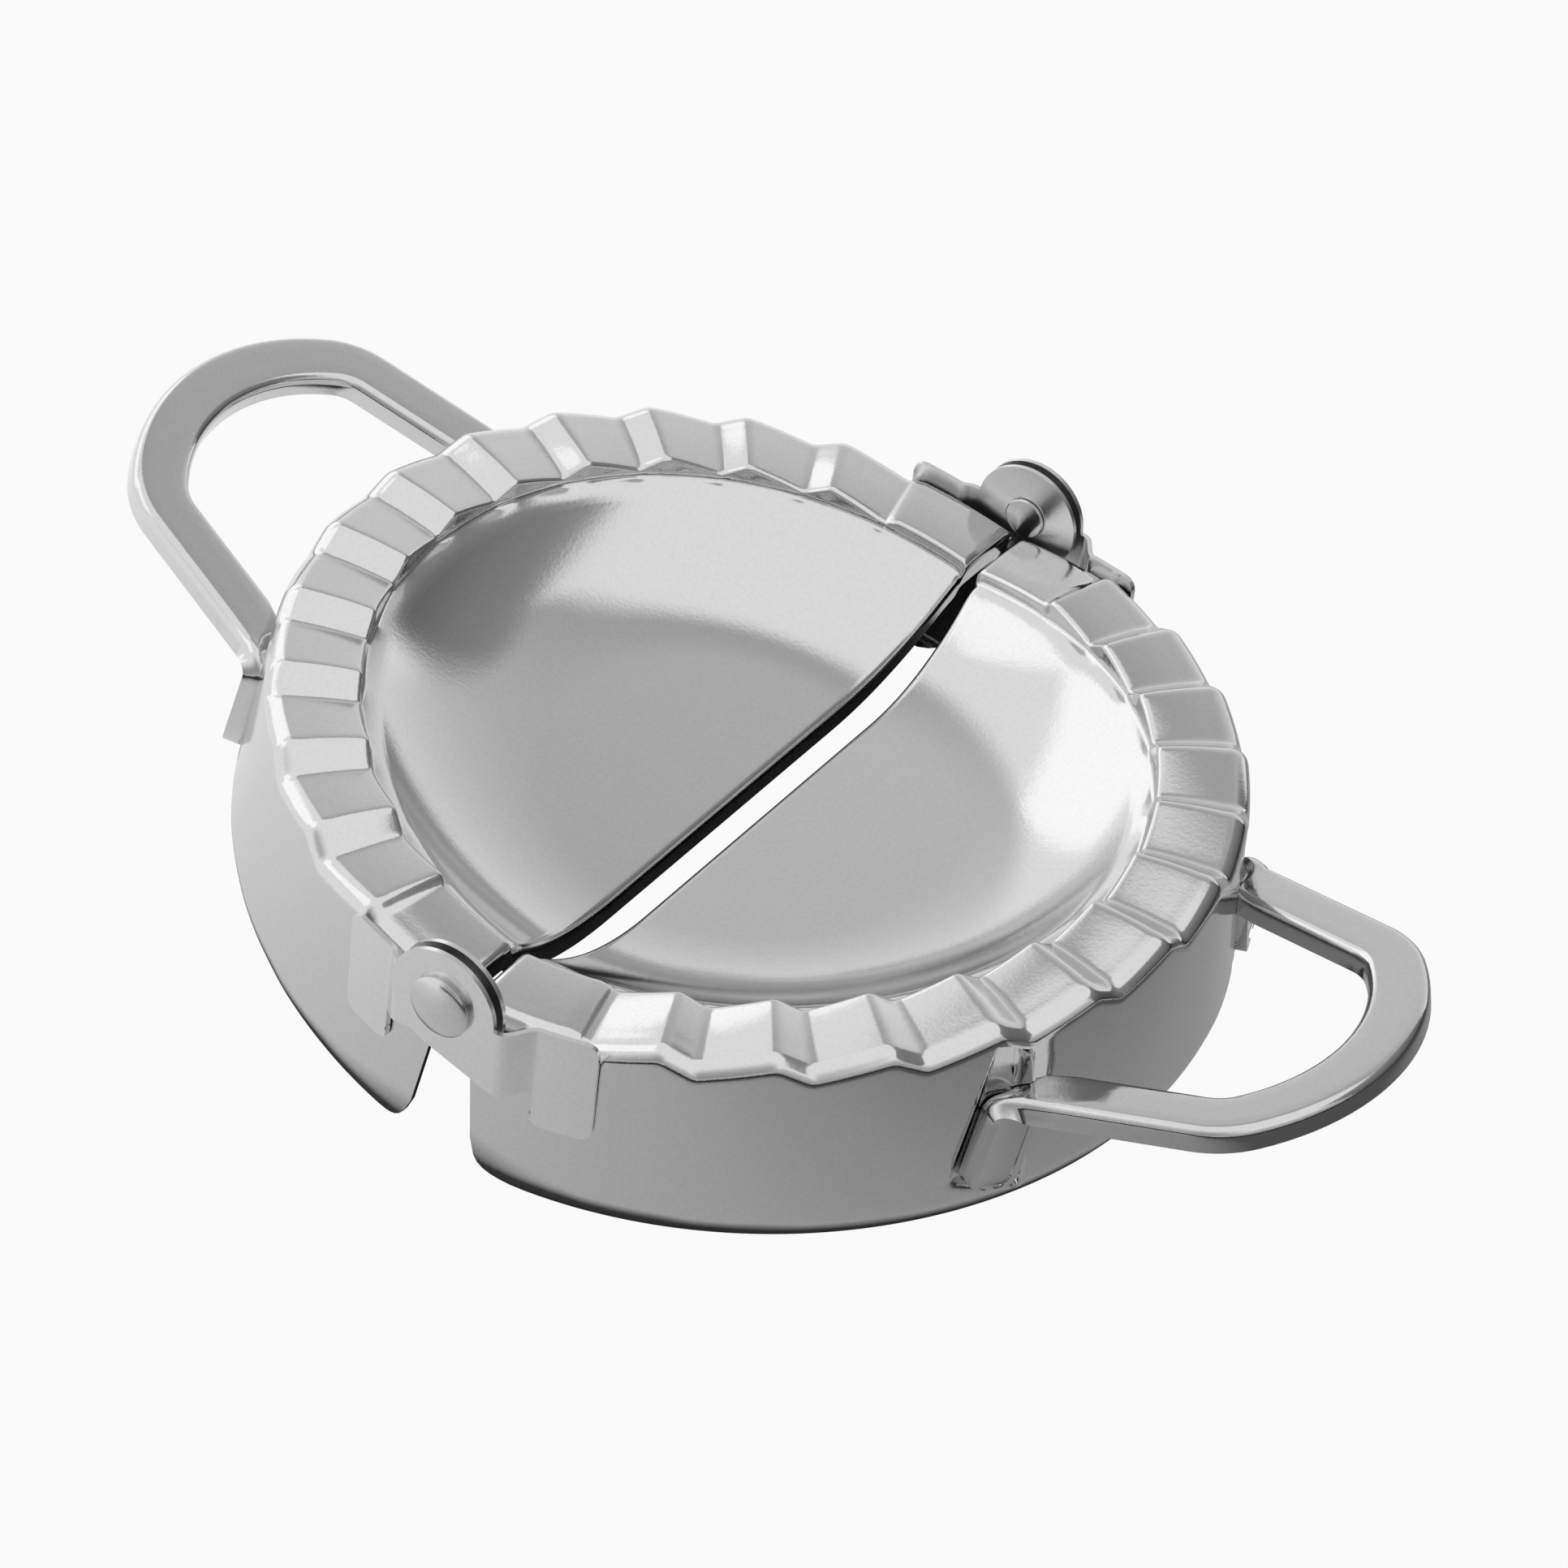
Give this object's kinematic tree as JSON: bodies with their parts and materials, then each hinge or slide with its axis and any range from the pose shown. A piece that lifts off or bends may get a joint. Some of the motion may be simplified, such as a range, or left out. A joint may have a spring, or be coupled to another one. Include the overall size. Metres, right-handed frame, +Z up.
{
  "type": "empanada press",
  "caption": "Hinged stainless steel dough press: two dished half-round shells with a crimped rim and a cutter skirt, each with a loop handle, folding together on a riveted hinge.",
  "frame": {"origin": "centre of the bounding box at its lowest level, where the press stands on the corners of its two skirts with both halves raised alike", "axes": "+X across the two halves towards the right handle, +Y along the hinge axis towards the far hinge, +Z up"},
  "size_m": [0.1436, 0.1032, 0.027],
  "materials": {
    "shell_right": "polished stainless sheet with a fine satin grain",
    "shell_left": "polished stainless sheet with a fine satin grain",
    "handle_right": "bright polished stainless sheet",
    "handle_left": "bright polished stainless sheet",
    "leaf_right_near": "satin stainless sheet",
    "leaf_right_far": "satin stainless sheet",
    "leaf_left_near": "satin stainless sheet",
    "leaf_left_far": "satin stainless sheet",
    "rivet_near": "satin domed steel rivet",
    "rivet_far": "satin domed steel rivet",
    "spacer_near": "plain steel washer",
    "spacer_far": "plain steel washer"
  },
  "bodies": {
    "right_half": {"shell_right": "shell_right", "handle_right": "handle_right", "leaf_right_near": "leaf_right_near", "leaf_right_far": "leaf_right_far", "rivet_near": "rivet_near", "rivet_far": "rivet_far", "spacer_near": "spacer_near", "spacer_far": "spacer_far"},
    "left_half": {"shell_left": "shell_left", "handle_left": "handle_left", "leaf_left_near": "leaf_left_near", "leaf_left_far": "leaf_left_far"}
  },
  "joints": [
    {"name": "hinge", "type": "hinge", "parent": "right_half", "child": "left_half", "pos_m": [0, 0, 0.02102], "axis": [0, 1, 0], "range_deg": [-15.4, 164.6]}
  ]
}
